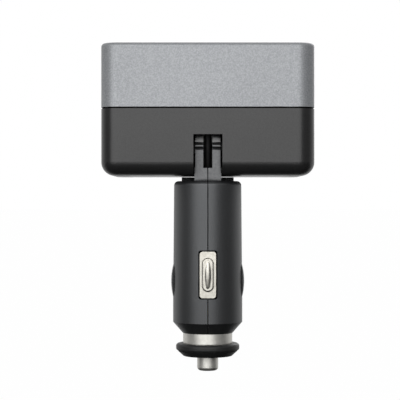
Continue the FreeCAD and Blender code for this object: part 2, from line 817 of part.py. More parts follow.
# Stamped side contact: plate with a raised oval pad, a dome on it, and an ear behind each end of its window
def make_contact():
    body = new_body("contact_front")
    half_width, half_height = s.contact_width / 2, s.contact_height / 2
    low, high = s.window_middle - half_height, s.window_middle + half_height
    dome_half, dome_reach = s.contact_dome_width / 2, s.contact_dome_height / 2
    dome_depth = contact_face + s.contact_dome_rise - dome_half
    add_dome(body, dome_half, dome_reach, s.contact_dome_end, dome_depth, cut=False)
    behind = new_sketch(body, "XZ_Plane", (0, 0, contact_back))
    rectangle(behind, -half_width, half_width, low, high)
    extrude(body, behind, s.contact_dome_width, cut=True)
    plate = new_sketch(body, "XZ_Plane", (0, 0, contact_back))
    rounded_rectangle(plate, -half_width, half_width, low, high, s.contact_round)
    extrude(body, plate, s.contact_thickness)
    pad = new_sketch(body, "XZ_Plane", (0, 0, contact_back))
    stadium(pad, s.window_middle, s.contact_pad_width / 2, s.contact_pad_height / 2, upright=True)
    extrude(body, pad, s.contact_thickness + s.contact_pad_rise)
    pad_face = contact_face + s.contact_pad_rise
    dress(body, "Fillet", s.contact_pad_round,
          lambda edge: lies_at(edge, "y", -pad_face) and not edge.Curve.TypeId.endswith("BSplineCurve"))
    wall = s.contact_thickness
    add_dome(body, dome_half - wall, dome_reach - wall, s.contact_dome_end - wall, dome_depth, cut=True)
    hollow = new_sketch(body, "XZ_Plane", (0, 0, contact_back))
    stadium(hollow, s.window_middle, s.contact_pad_width / 2 - wall, s.contact_pad_height / 2 - wall, upright=True)
    extrude(body, hollow, s.contact_pad_rise, against=True, cut=True)
    ear_half = s.contact_ear_width / 2
    for inner, outer in ((low + s.contact_thickness, low), (high - s.contact_thickness, high)):
        riser = new_sketch(body, "XZ_Plane", (0, 0, ear_back))
        rectangle(riser, -ear_half, ear_half, inner, outer)
        extrude(body, riser, contact_back - ear_back + s.contact_thickness / 2)
    for inner, outer in ((low + s.contact_thickness, low - s.contact_ear_height),
                         (high - s.contact_thickness, high + s.contact_ear_height)):
        ear = new_sketch(body, "XZ_Plane", (0, 0, ear_back))
        rectangle(ear, -ear_half, ear_half, inner, outer)
        extrude(body, ear, s.contact_thickness)
    return body


def add_dome(body, half_width, half_height, end, depth, cut):
    """A long blunt oval turned about its own upright axis: the contact's dome, or the hollow behind it."""
    sketch = new_sketch(body, "XZ_Plane", (0, 0, depth))
    rise = half_height - end
    flank = (half_width * half_width + rise * rise - end * end) / ((half_width - end) * 2)
    quarter, upward = Part.Circle().LastParameter / 4, FreeCAD.Vector(0, 0, 1)
    lean = vector(flank - half_width, rise).getAngle(FreeCAD.Vector(1, 0, 0))
    for across, up, radius, start, stop in (
        (0, s.window_middle - rise, end, -quarter, -lean),
        (half_width - flank, s.window_middle, flank, -lean, lean),
        (0, s.window_middle + rise, end, lean, quarter),
    ):
        sketch.addGeometry(Part.ArcOfCircle(Part.Circle(vector(across, up), upward, radius.value), start, stop))
    low, high = s.window_middle - half_height, s.window_middle + half_height
    sketch.addGeometry(Part.LineSegment(vector(0, high), vector(0, low)))
    sketch.addConstraint(Sketcher.Constraint("Tangent", 0, 2, 1, 1))
    sketch.addConstraint(Sketcher.Constraint("Tangent", 1, 2, 2, 1))
    sketch.addConstraint(Sketcher.Constraint("Coincident", 2, 2, 3, 1))
    sketch.addConstraint(Sketcher.Constraint("Coincident", 3, 2, 0, 1))
    sketch.addConstraint(Sketcher.Constraint("Equal", 0, 2))
    for arc, radius in ((0, end), (1, flank)):
        rule = sketch.addConstraint(Sketcher.Constraint("Radius", arc, radius.value))
        sketch.setExpression(f"Constraints[{rule}]", radius.formula)
    place_point(sketch, 0, 3, 0)
    place_point(sketch, 2, 3, 0)
    place_point(sketch, 3, 1, 0, high)
    place_point(sketch, 3, 2, 0, low)
    revolve(body, sketch, cut=cut)


# Bow spring between the strap's leg and the back of the contact
def make_contact_spring():
    body = new_body("contact_spring_front")
    bow = new_sketch(body, "XY_Plane", (0, -(bow_middle + s.bow_radius), s.window_middle))
    rectangle(bow, -s.bow_width / 2, s.bow_width / 2, s.bow_radius - s.bow_thickness, s.bow_radius)
    revolve(body, bow, "H_Axis", s.bow_angle)
    return body


def make_lead(label, rise_place, low, fall_place, end):
    """A lead that climbs through the hinge, turns back inside the head and falls to its bus bar."""
    body = new_body(label)
    route = new_sketch(body, "YZ_Plane")
    middle = (rise_place + fall_place) / 2
    bend = (fall_place - rise_place) / 2
    route.addGeometry(Part.LineSegment(vector(rise_place, low), vector(rise_place, lead_turn)))
    bend_circle = Part.Circle(vector(middle, lead_turn), FreeCAD.Vector(0, 0, 1), bend.value)
    route.addGeometry(Part.ArcOfCircle(bend_circle, 0, bend_circle.LastParameter / 2))
    route.addGeometry(Part.LineSegment(vector(fall_place, lead_turn), vector(fall_place, end)))
    route.addConstraint(Sketcher.Constraint("Tangent", 0, 2, 1, 2))
    route.addConstraint(Sketcher.Constraint("Tangent", 1, 1, 2, 1))
    route.addConstraint(Sketcher.Constraint("Vertical", 0))
    route.addConstraint(Sketcher.Constraint("Vertical", 2))
    place_point(route, 0, 1, rise_place, low)
    place_point(route, 0, 2, up=lead_turn)
    place_point(route, 2, 2, fall_place, end)
    section = new_sketch(body, "XY_Plane", (0, 0, low))
    circle(section, 0, rise_place, s.lead_radius)
    document.recompute()
    sweep = body.newObject("PartDesign::AdditivePipe", f"{label}_sweep")
    sweep.Profile = section
    sweep.Spine = route
    body.Tip = sweep
    return body


def head_outline(sketch, inset):
    """The head's rounded plan outline, moved inwards by the given amount."""
    half = head_half - inset
    return rounded_rectangle(sketch, -half, half, head_front + inset, head_back - inset, s.corner_radius - inset)


no_inset = Size(0, "0")


def screw_places():
    across, along = head_half - s.screw_inset, head_depth / 2 - s.screw_inset
    return [(x, y) for x in (-across, across) for y in (head_middle - along, head_middle + along)]


# Lower shell: rounded tray with the hinge box, its slot, the tongue and the screw bosses
def make_lower_shell():
    body = new_body("lower_shell")
    extrude(body, head_outline(new_sketch(body, "XY_Plane", (0, 0, head_bottom)), no_inset), s.lower_height)
    dress(body, "Fillet", s.bottom_round, lambda edge: lies_at(edge, "z", head_bottom))
    tongue = new_sketch(body, "XY_Plane", (0, 0, seam_bottom - s.overlap))
    head_outline(tongue, s.shell_wall - s.tongue_width)
    extrude(body, tongue, s.tongue_height + s.overlap)
    hollow = new_sketch(body, "XY_Plane", (0, 0, tongue_top))
    head_outline(hollow, s.shell_wall)
    extrude(body, hollow, tongue_top - floor_top, cut=True)
    add_bosses(body, floor_top - s.overlap, seam_bottom)
    add_hinge_box(body)
    drill_bosses(body, s.screw_radius + s.screw_play, head_bottom, seam_bottom)
    drill_bosses(body, s.screw_head_radius + s.screw_head_play, head_bottom, screw_seat_height)
    return body


def add_bosses(body, low, high):
    for across, along in screw_places():
        extrude(body, circle(new_sketch(body, "XY_Plane", (0, 0, low)), across, along, s.boss_radius), high - low)


def drill_bosses(body, radius, low, high):
    for across, along in screw_places():
        hole = circle(new_sketch(body, "XY_Plane", (0, 0, low)), across, along, radius)
        extrude(body, hole, high - low, against=True, cut=True)


def add_hinge_box(body):
    inner_front = head_front + s.shell_wall
    box = new_sketch(body, "XY_Plane", (0, 0, floor_top - s.overlap))
    rectangle(box, -hinge_box_half, hinge_box_half, inner_front - s.overlap, hinge_box_rear)
    extrude(body, box, hinge_box_top - floor_top + s.overlap)
    slot = new_sketch(body, "YZ_Plane")
    rectangle(slot, head_front - s.overlap, slot_rear, head_bottom - s.overlap, slot_top)
    extrude(body, slot, s.slot_width, symmetric=True, cut=True)
    room = new_sketch(body, "YZ_Plane")
    rectangle(room, inner_front, slot_rear, slot_top - s.overlap, detent_ceiling)
    extrude(body, room, s.slot_width, symmetric=True, cut=True)
    bearing = new_sketch(body, "YZ_Plane")
    circle(bearing, hinge_y, hinge_height, s.trunnion_radius + s.trunnion_play)
    extrude(body, bearing, hinge_box_half * 2, symmetric=True, cut=True)
    half = s.lead_radius + s.passage_play
    window = new_sketch(body, "XY_Plane", (0, 0, detent_ceiling - s.overlap))
    rectangle(window, -half, half, lead_front - half, lead_rear + half)
    extrude(body, window, s.hinge_box_wall + s.overlap * 2, against=True, cut=True)


# Upper shell: rounded lid with two socket holes, the rebate for the tongue and the screw bosses
def make_upper_shell():
    body = new_body("upper_shell")
    extrude(body, head_outline(new_sketch(body, "XY_Plane", (0, 0, seam_top)), no_inset), s.upper_height)
    dress(body, "Fillet", s.top_round, lambda edge: lies_at(edge, "z", head_top))
    hollow = new_sketch(body, "XY_Plane", (0, 0, seam_top))
    head_outline(hollow, s.shell_wall)
    extrude(body, hollow, roof_bottom - seam_top, against=True, cut=True)
    rebate = new_sketch(body, "XY_Plane", (0, 0, seam_top))
    head_outline(rebate, s.shell_wall - s.tongue_width - s.tongue_play)
    extrude(body, rebate, tongue_top - seam_top, against=True, cut=True)
    add_bosses(body, seam_bottom, roof_bottom + s.overlap)
    drill_bosses(body, s.screw_radius + s.screw_play, seam_bottom,
                 screw_seat_height + s.screw_length + s.screw_pilot_spare)
    for radius, depth in ((sleeve_outer + s.sleeve_play, s.head_roof), (rim_seat, head_top - lip_bottom)):
        holes = new_sketch(body, "XY_Plane", (0, 0, head_top))
        circle(holes, -socket_x, head_middle, radius)
        circle(holes, socket_x, head_middle, radius)
        extrude(body, holes, depth, cut=True)
    return body


# Socket cup with a narrower foot and a turned-out lip on the upper shell's ledge
def make_sleeve():
    hole = s.bush_radius + s.bush_play
    step_top = socket_floor + s.socket_step_height
    return turned("socket_sleeve_right", [
        (hole, socket_floor),
        (sleeve_outer - s.socket_step, socket_floor),
        (sleeve_outer - s.socket_step, step_top - s.sleeve_wall),
        (sleeve_outer, step_top - s.sleeve_wall),
        (sleeve_outer, lip_bottom),
        (lip_radius, lip_bottom),
        (lip_radius, lip_top),
        (s.socket_radius, lip_top),
        (s.socket_radius, step_top),
        (s.socket_radius - s.socket_step, step_top),
        (s.socket_radius - s.socket_step, socket_inside),
        (hole, socket_inside),
    ], socket_x, head_middle)


# Socket rim on the lip, flush with the head's top face
def make_rim():
    mouth = s.socket_radius + s.rim_mouth_play
    body = turned("socket_rim_right", [
        (mouth, lip_top), (rim_radius, lip_top), (rim_radius, head_top), (mouth, head_top),
    ], socket_x, head_middle)
    dress(body, "Chamfer", s.rim_chamfer, lambda edge: is_circle(edge, mouth) and lies_at(edge, "z", head_top))
    return body


def make_insulator():
    bore = s.rivet_radius + s.rivet_play
    return turned("insulator_right", [
        (bore, positive_bar_top),
        (s.bush_radius, positive_bar_top),
        (s.bush_radius, socket_inside),
        (s.insulator_radius, socket_inside),
        (s.insulator_radius, insulator_top),
        (bore, insulator_top),
    ], socket_x, head_middle)


def make_centre_contact():
    crown = insulator_top + s.centre_height
    tail = positive_bar_bottom - s.rivet_tail_height
    body = turned("centre_contact_right", [
        (0, crown),
        (s.centre_radius, crown),
        (s.centre_radius, insulator_top),
        (s.rivet_radius, insulator_top),
        (s.rivet_radius, positive_bar_bottom),
        (s.rivet_tail_radius, positive_bar_bottom),
        (s.rivet_tail_radius, tail),
        (0, tail),
    ], socket_x, head_middle)
    dress(body, "Fillet", s.centre_round, lambda edge: lies_at(edge, "z", crown))
    return body


# Flat bars under the sockets: one rivetted to the centre contacts, one on the cups' floors
def make_bus_bars():
    positive = new_body("positive_bus_bar")
    half = s.positive_bar_width / 2
    outline = new_sketch(positive, "XY_Plane", (0, 0, positive_bar_bottom))
    stadium(outline, head_middle, half, socket_x + half, upright=False)
    extrude(positive, outline, s.bar_thickness)
    holes = new_sketch(positive, "XY_Plane", (0, 0, positive_bar_bottom))
    circle(holes, -socket_x, head_middle, s.rivet_radius + s.rivet_play)
    circle(holes, socket_x, head_middle, s.rivet_radius + s.rivet_play)
    extrude(positive, holes, s.bar_thickness, against=True, cut=True)
    ground = new_body("ground_bus_bar")
    outline = new_sketch(ground, "XY_Plane", (0, 0, socket_floor - s.bar_thickness))
    stadium(outline, ground_bar_middle, s.ground_bar_width / 2, s.ground_bar_reach, upright=False)
    extrude(ground, outline, s.bar_thickness)
    return [positive, ground]


# Leaf spring under the hinge box's ceiling, its ridge in the knuckle's top notch
def make_detent_spring():
    body = new_body("detent_spring_right")
    top = detent_ceiling - s.detent_play - s.detent_thickness
    ridge_y = hinge_y - s.detent_play * 5
    apex = top - s.detent_drop
    shoulder = apex + s.detent_ridge
    leaf = new_sketch(body, "YZ_Plane", (0, 0, (s.arm_gap + s.arm_width) / 4 - s.detent_width / 2))
    line = [
        (slot_rear - s.detent_play, top),
        (hinge_y + s.knuckle_radius / 3, top),
        (ridge_y + s.detent_ridge_half, shoulder),
        (ridge_y, apex),
        (ridge_y - s.detent_ridge_half, shoulder),
        (hinge_y - s.knuckle_radius * 0.75, shoulder + s.detent_rise),
    ]
    upper = [(across, up + s.detent_thickness) for across, up in reversed(line)]
    polygon(leaf, line + upper)
    extrude(body, leaf, s.detent_width)
    return body


# Four equal screws, heads deep in the lower shell's bosses
def make_shell_screws():
    screws = []
    for index, (across, along) in enumerate(screw_places(), start=1):
        head = cylinder(f"screw_head_{index}", s.screw_head_radius, screw_seat_height - s.screw_head_height,
                        screw_seat_height, across, along)
        shank = cylinder(f"screw_shank_{index}", s.screw_radius, screw_seat_height - s.screw_head_height,
                         screw_seat_height + s.screw_length, across, along)
        screw = document.addObject("Part::Fuse", f"screw_{index}")
        screw.Base = head
        screw.Tool = shank
        screws.append(screw)
    return group("shell_screws", screws)


def make_all():
    barrel_right = make_barrel_half()
    contact = make_contact()
    bow = make_contact_spring()
    detent = make_detent_spring()
    sub_parts = [
        barrel_right,
        mirrored(barrel_right, "barrel_left", to_left),
        make_nose_ring(),
        make_tip_cap(),
        make_tip_contact(),
        *make_fuse(),
        make_tip_spring(),
        make_spring_terminal(),
        make_ground_strap(),
        contact,
        mirrored(contact, "contact_rear", to_rear),
        bow,
        mirrored(bow, "contact_spring_rear", to_rear),
        make_lead("lead_negative", lead_front, strap_top, ground_bar_middle, socket_floor),
        make_lead("lead_positive", lead_rear, post_top + s.lug_thickness, head_middle, positive_bar_top),
        make_lower_shell(),
        make_upper_shell(),
        *make_bus_bars(),
        detent,
        mirrored(detent, "detent_spring_left", to_left),
        make_shell_screws(),
    ]
    for right_hand in (make_sleeve(), make_rim(), make_insulator(), make_centre_contact()):
        twin = mirrored(right_hand, right_hand.Label.replace("right", "left"), to_left)
        sub_parts += [right_hand, twin]
    return sub_parts


def check(sub_parts):
    for thing in document.Objects:
        if "Invalid" in thing.State or "Error" in thing.State:
            raise RuntimeError(f"{thing.Name} failed: {thing.State}")
    for sub_part in sub_parts:
        if sub_part.Shape.isNull() or not sub_part.Shape.isValid() or not sub_part.Shape.Solids:
            raise RuntimeError(f"{sub_part.Label} has no valid shape")


sub_parts = make_all()
document.recompute()
check(sub_parts)
os.makedirs("parts", exist_ok=True)
for sub_part in sub_parts:
    sub_part.Shape.exportStep(f"parts/{sub_part.Label}.step")
    print(f"{sub_part.Label}: {len(sub_part.Shape.Solids)} solid, {sub_part.Shape.Volume:.1f} mm3")
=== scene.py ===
import math

import bpy
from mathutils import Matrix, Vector


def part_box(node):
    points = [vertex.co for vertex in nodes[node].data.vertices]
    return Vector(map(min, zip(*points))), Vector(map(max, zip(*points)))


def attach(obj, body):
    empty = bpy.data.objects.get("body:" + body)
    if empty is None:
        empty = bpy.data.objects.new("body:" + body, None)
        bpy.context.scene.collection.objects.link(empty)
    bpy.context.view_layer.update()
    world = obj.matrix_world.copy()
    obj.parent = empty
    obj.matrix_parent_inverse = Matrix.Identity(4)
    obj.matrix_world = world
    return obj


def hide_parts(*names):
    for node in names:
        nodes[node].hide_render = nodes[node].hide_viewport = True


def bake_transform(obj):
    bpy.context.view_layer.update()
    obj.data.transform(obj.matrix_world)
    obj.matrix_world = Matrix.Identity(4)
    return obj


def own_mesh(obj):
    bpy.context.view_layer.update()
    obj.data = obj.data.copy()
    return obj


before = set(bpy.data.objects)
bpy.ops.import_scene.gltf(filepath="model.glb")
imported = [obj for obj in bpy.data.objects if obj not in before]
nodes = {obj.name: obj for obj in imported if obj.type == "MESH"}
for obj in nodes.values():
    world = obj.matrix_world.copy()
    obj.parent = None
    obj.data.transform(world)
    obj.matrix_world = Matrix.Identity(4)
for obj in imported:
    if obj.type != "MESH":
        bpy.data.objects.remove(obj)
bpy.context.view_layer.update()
print("frame loaded:", len(nodes), "pieces")

# shader groups that the finishes share


def newGroup(name, inputs, outputs):
    group = bpy.data.node_groups.new(name, "ShaderNodeTree")
    for label, value in inputs.items():
        kind = "NodeSocketColor" if isinstance(value, tuple) else "NodeSocketFloat"
        socket = group.interface.new_socket(label, in_out="INPUT", socket_type=kind)
        socket.default_value = value
    for label, kind in outputs.items():
        group.interface.new_socket(label, in_out="OUTPUT", socket_type="NodeSocket" + kind)
    return group, group.nodes.new("NodeGroupInput"), group.nodes.new("NodeGroupOutput")


def feed(tree, value, socket):
    if isinstance(value, (int, float)):
        socket.default_value = value
    else:
        tree.links.new(value, socket)


def combine(tree, operation, first, second):
    node = tree.nodes.new("ShaderNodeMath")
    node.operation = operation
    feed(tree, first, node.inputs[0])
    feed(tree, second, node.inputs[1])
    return node.outputs[0]


def larger(tree, first, second):
    return combine(tree, "MAXIMUM", first, second)


def times(tree, first, second):
    return combine(tree, "MULTIPLY", first, second)


# numbers of the mix node's sockets: first, second and result
mixSockets = {"RGBA": (6, 7, 2), "FLOAT": (2, 3, 0)}


def mix(tree, kind, share, first, second, result):
    node = tree.nodes.new("ShaderNodeMix")
    node.data_type = kind
    firstSocket, secondSocket, resultSocket = mixSockets[kind]
    tree.links.new(share, node.inputs[0])
    feed(tree, first, node.inputs[firstSocket])
    feed(tree, second, node.inputs[secondSocket])
    tree.links.new(node.outputs[resultSocket], result)


def splitAxes(tree, vector):
    node = tree.nodes.new("ShaderNodeSeparateXYZ")
    tree.links.new(vector, node.inputs[0])
    return node.outputs


grainValues = {"fineDetail": 2, "broadDetail": 3, "spreadFrom": 0.3, "spreadTo": 0.7, "reliefDepth": 0.00005}


def makeGrainGroup(values):
    # speckled colour, patchy roughness and a very low relief
    group, source, result = newGroup(
        "fineGrain",
        {"Dark": (0.1, 0.1, 0.1, 1), "Light": (0.2, 0.2, 0.2, 1), "Scale": 4000.0, "Patch": 60.0, "Relief": 0.05,
         "Rough Low": 0.4, "Rough High": 0.5},
        {"Color": "Color", "Roughness": "Float", "Normal": "Vector"},
    )
    add, link = group.nodes.new, group.links.new
    place = add("ShaderNodeTexCoord")
    fine = add("ShaderNodeTexNoise")
    fine.inputs["Detail"].default_value = values["fineDetail"]
    broad = add("ShaderNodeTexNoise")
    broad.inputs["Detail"].default_value = values["broadDetail"]
    for noise, scale in ((fine, "Scale"), (broad, "Patch")):
        link(place.outputs["Object"], noise.inputs["Vector"])
        link(source.outputs[scale], noise.inputs["Scale"])
    spread = add("ShaderNodeMapRange")
    spread.inputs["From Min"].default_value = values["spreadFrom"]
    spread.inputs["From Max"].default_value = values["spreadTo"]
    link(fine.outputs["Fac"], spread.inputs["Value"])
    mix(group, "RGBA", spread.outputs["Result"], source.outputs["Dark"], source.outputs["Light"],
        result.inputs["Color"])
    rough = add("ShaderNodeMapRange")
    link(broad.outputs["Fac"], rough.inputs["Value"])
    link(source.outputs["Rough Low"], rough.inputs["To Min"])
    link(source.outputs["Rough High"], rough.inputs["To Max"])
    link(rough.outputs["Result"], result.inputs["Roughness"])
    bump = add("ShaderNodeBump")
    bump.inputs["Distance"].default_value = values["reliefDepth"]
    link(fine.outputs["Fac"], bump.inputs["Height"])
    link(source.outputs["Relief"], bump.inputs["Strength"])
    link(bump.outputs["Normal"], result.inputs["Normal"])
    return group


def makeZoneGroup():
    # a second colour above a height and in front of a depth: a lighter finish on the neck, and painted light on the
    # knuckle's upper lands
    group, source, result = newGroup(
        "frontZone",
        {"Low Color": (0, 0, 0, 1), "High Color": (1, 1, 1, 1), "Low Rough": 0.4, "High Rough": 0.6, "Above": 0.0,
         "Before": 0.0},
        {"Color": "Color", "Roughness": "Float"},
    )
    axes = splitAxes(group, group.nodes.new("ShaderNodeTexCoord").outputs["Object"])
    higher = combine(group, "GREATER_THAN", axes["Z"], source.outputs["Above"])
    nearer = combine(group, "LESS_THAN", axes["Y"], source.outputs["Before"])
    share = times(group, higher, nearer)
    for kind, label, socket in (("RGBA", "Color", "Color"), ("FLOAT", "Rough", "Roughness")):
        mix(group, kind, share, source.outputs["Low " + label], source.outputs["High " + label],
            result.inputs[socket])
    return group


creaseValues = {"samples": 12, "dullest": 1.0}


def makeCreaseGroup(values):
    # painted shade: slots, seams and notches are darkened and dulled inside, the more closed in they are
    group, source, result = newGroup(
        "creaseShade",
        {"Color": (0.1, 0.1, 0.1, 1), "Roughness": 0.5, "Deep": (0.001, 0.001, 0.001, 1), "Reach": 0.002,
         "Closed": 0.3, "Open": 0.7},
        {"Color": "Color", "Roughness": "Float"},
    )
    add, link = group.nodes.new, group.links.new
    room = add("ShaderNodeAmbientOcclusion")
    room.samples = values["samples"]
    link(source.outputs["Reach"], room.inputs["Distance"])
    share = add("ShaderNodeMapRange")
    share.interpolation_type = "SMOOTHSTEP"
    link(room.outputs["AO"], share.inputs["Value"])
    link(source.outputs["Closed"], share.inputs["From Min"])
    link(source.outputs["Open"], share.inputs["From Max"])
    mix(group, "RGBA", share.outputs["Result"], source.outputs["Deep"], source.outputs["Color"],
        result.inputs["Color"])
    mix(group, "FLOAT", share.outputs["Result"], values["dullest"], source.outputs["Roughness"],
        result.inputs["Roughness"])
    return group


def makeSeamGroup(values):
    # painted shade: a thin dark, dull line along the joint of the two halves, where the gap between them lies in shade
    group, source, result = newGroup(
        "seamShade",
        {"Color": (0.1, 0.1, 0.1, 1), "Roughness": 0.5, "Deep": (0.001, 0.001, 0.001, 1), "Half": 0.0001},
        {"Color": "Color", "Roughness": "Float"},
    )
    axes = splitAxes(group, group.nodes.new("ShaderNodeTexCoord").outputs["Object"])
    distance = combine(group, "ABSOLUTE", axes["X"], 0)
    share = combine(group, "LESS_THAN", distance, source.outputs["Half"])
    mix(group, "RGBA", share, source.outputs["Color"], source.outputs["Deep"], result.inputs["Color"])
    mix(group, "FLOAT", share, source.outputs["Roughness"], values["dullest"], result.inputs["Roughness"])
    return group


grainGroup, zoneGroup = makeGrainGroup(grainValues), makeZoneGroup()
shadeGroups = {"crease": makeCreaseGroup(creaseValues), "seam": makeSeamGroup(creaseValues)}
print("shader groups made")

# one entry per finish: the grain's two colours and sizes, other zones (a lighter neck, and painted light on the
# knuckle's lands), painted shade in creases and along the seam, the shader's own numbers
finishes = {
    "upperPaint": {
        "grain": {"Dark": (0.225, 0.234, 0.246), "Light": (0.318, 0.327, 0.339), "Scale": 2600, "Patch": 40,
                  "Relief": 0.25, "Rough Low": 0.42, "Rough High": 0.5},
        "crease": {"Reach": 0.0012, "Closed": 0.45, "Open": 0.8},
        "shader": {"Metallic": 0.35, "Specular IOR Level": 0.4},
    },
    "lowerGrey": {
        "grain": {"Dark": (0.01, 0.01, 0.0102), "Light": (0.016, 0.016, 0.0163), "Scale": 2600, "Patch": 40,
                  "Relief": 0.25, "Rough Low": 0.3, "Rough High": 0.36},
        "crease": {"Reach": 0.0015, "Closed": 0.45, "Open": 0.8},
        "shader": {"Specular IOR Level": 0.36},
    },
    "barrelBlack": {
        "grain": {"Dark": (0.005, 0.0053, 0.0058), "Light": (0.009, 0.0093, 0.01), "Scale": 2400, "Patch": 60,
                  "Relief": 0.2, "Rough Low": 0.42, "Rough High": 0.48},
        "zones": [
            ({"Dark": (0.085, 0.085, 0.087), "Light": (0.13, 0.13, 0.132), "Scale": 1800, "Patch": 60,
              "Rough Low": 0.5, "Rough High": 0.6}, {"Above": 0.0415, "Before": -0.0009}),
            # painted light: the knuckle's upper lands, in shade under the slot's lip, are coloured much lighter
            ({"Dark": (0.24, 0.24, 0.24), "Light": (0.34, 0.34, 0.34), "Scale": 1800, "Patch": 60,
              "Rough Low": 0.5, "Rough High": 0.6}, {"Above": 0.0523, "Before": -0.0045}),
        ],
        "crease": {"Reach": 0.0018, "Closed": 0.5, "Open": 0.8},
        "seam": {"Half": 0.00015},
        "shader": {"Specular IOR Level": 0.81, "Specular Tint": (0.95, 0.975, 1, 1)},
    },
    "capBlack": {
        "grain": {"Dark": (0.009, 0.009, 0.0095), "Light": (0.014, 0.014, 0.0146), "Scale": 2000, "Patch": 80,
                  "Relief": 0.1, "Rough Low": 0.48, "Rough High": 0.56},
        "crease": {"Reach": 0.0012},
        "shader": {"Specular IOR Level": 0.34},
    },
    "rimBlack": {
        "grain": {"Dark": (0.025, 0.025, 0.027), "Light": (0.035, 0.035, 0.037), "Scale": 2000, "Patch": 80,
                  "Relief": 0.1, "Rough Low": 0.28, "Rough High": 0.36},
        "shader": {"Specular IOR Level": 0.5},
    },
    "nickelPlate": {
        "grain": {"Dark": (0.52, 0.51, 0.48), "Light": (0.6, 0.59, 0.555), "Scale": 900, "Patch": 150,
                  "Relief": 0.06, "Rough Low": 0.44, "Rough High": 0.52},
        "crease": {"Reach": 0.001},
        "shader": {"Metallic": 1.0},
    },
    "contactPlate": {
        "grain": {"Dark": (0.33, 0.318, 0.285), "Light": (0.41, 0.397, 0.36), "Scale": 1200, "Patch": 200,
                  "Relief": 0.1, "Rough Low": 0.32, "Rough High": 0.4},
        "crease": {"Reach": 0.001},
        "shader": {"Metallic": 1.0},
    },
    "socketSteel": {
        "grain": {"Dark": (0.36, 0.36, 0.35), "Light": (0.46, 0.46, 0.45), "Scale": 900, "Patch": 120,
                  "Relief": 0.06, "Rough Low": 0.4, "Rough High": 0.5},
        "shader": {"Metallic": 1.0},
    },
    "stripBrass": {
        "grain": {"Dark": (0.44, 0.31, 0.13), "Light": (0.55, 0.4, 0.18), "Scale": 900, "Patch": 120,
                  "Relief": 0.06, "Rough Low": 0.38, "Rough High": 0.5},
        "crease": {"Reach": 0.002},
        "shader": {"Metallic": 1.0},
    },
    "strapBrass": {
        "grain": {"Dark": (0.5, 0.37, 0.17), "Light": (0.62, 0.47, 0.24), "Scale": 900, "Patch": 120,
                  "Relief": 0.06, "Rough Low": 0.3, "Rough High": 0.4},
        "crease": {"Reach": 0.012, "Closed": 0.5, "Open": 0.95},
        "shader": {"Metallic": 1.0},
    },
    "springSteel": {
        "grain": {"Dark": (0.42, 0.42, 0.43), "Light": (0.54, 0.54, 0.55), "Scale": 900, "Patch": 120,
                  "Relief": 0.06, "Rough Low": 0.25, "Rough High": 0.35},
        "shader": {"Metallic": 1.0},
    },
    "leadRubber": {
        "grain": {"Dark": (0.006, 0.006, 0.0065), "Light": (0.01, 0.01, 0.0105), "Scale": 1500, "Patch": 80,
                  "Relief": 0.1, "Rough Low": 0.5, "Rough High": 0.6},
        "crease": {"Reach": 0.003, "Open": 0.95},
        "shader": {"Specular IOR Level": 0.12},
    },
    "pressedBoard": {
        "grain": {"Dark": (0.24, 0.14, 0.08), "Light": (0.34, 0.21, 0.12), "Scale": 1500, "Patch": 80,
                  "Relief": 0.2, "Rough Low": 0.55, "Rough High": 0.65},
        "shader": {"Specular IOR Level": 0.3},
    },
    "fuseGlass": {
        "grain": {"Dark": (0.9, 0.93, 0.93), "Light": (0.95, 0.97, 0.97), "Scale": 300, "Patch": 50,
                  "Relief": 0.0, "Rough Low": 0.02, "Rough High": 0.05},
        "shader": {"Transmission Weight": 1.0, "IOR": 1.5},
    },
}


def addGroup(tree, group, values):
    node = tree.nodes.new("ShaderNodeGroup")
    node.node_tree = group
    for socket, value in values.items():
        node.inputs[socket].default_value = (*value, 1) if isinstance(value, tuple) else value
    return node


def makeFinish(name):
    values = finishes[name]
    material = bpy.data.materials.new(name)
    material.use_nodes = True
    tree = material.node_tree
    shader = tree.nodes["Principled BSDF"]
    grain = addGroup(tree, grainGroup, values["grain"])
    color, roughness = grain.outputs["Color"], grain.outputs["Roughness"]
    for otherGrain, bounds in values.get("zones", []):
        other = addGroup(tree, grainGroup, otherGrain).outputs
        zone = addGroup(tree, zoneGroup, bounds)
        for level, pair in (("Low", (color, roughness)), ("High", (other["Color"], other["Roughness"]))):
            tree.links.new(pair[0], zone.inputs[level + " Color"])
            tree.links.new(pair[1], zone.inputs[level + " Rough"])
        color, roughness = zone.outputs["Color"], zone.outputs["Roughness"]
    for effect, group in shadeGroups.items():
        if effect in values:
            shade = addGroup(tree, group, values[effect])
            tree.links.new(color, shade.inputs["Color"])
            tree.links.new(roughness, shade.inputs["Roughness"])
            color, roughness = shade.outputs["Color"], shade.outputs["Roughness"]
    for output, socket in ((color, "Base Color"), (roughness, "Roughness"), (grain.outputs["Normal"], "Normal")):
        tree.links.new(output, shader.inputs[socket])
    for socket, value in values["shader"].items():
        shader.inputs[socket].default_value = value
    return material


materials = {name: makeFinish(name) for name in finishes}
print("finishes made:", len(materials))

nodeFinish = {
    "upperPaint": ["upper_shell"],
    "lowerGrey": ["lower_shell"],
    "barrelBlack": ["barrel_left", "barrel_right"],
    "capBlack": ["tip_cap"],
    "rimBlack": ["socket_rim_left", "socket_rim_right"],
    "nickelPlate": ["nose_ring", "tip_contact", "fuse_caps"],
    "contactPlate": ["contact_front", "contact_rear"],
    "socketSteel": ["socket_sleeve_left", "socket_sleeve_right"],
    "stripBrass": ["fuse_wire", "centre_contact_left", "centre_contact_right", "positive_bus_bar", "ground_bus_bar"],
    "strapBrass": ["spring_terminal", "ground_strap"],
    "springSteel": ["tip_spring", "contact_spring_front", "contact_spring_rear", "detent_spring_left",
                    "detent_spring_right", "shell_screws"],
    "leadRubber": ["lead_positive", "lead_negative"],
    "pressedBoard": ["insulator_left", "insulator_right"],
    "fuseGlass": ["fuse_glass"],
}
for finish, names in nodeFinish.items():
    for name in names:
        nodes[name].data.materials.clear()
        nodes[name].data.materials.append(materials[finish])
print("finishes placed")

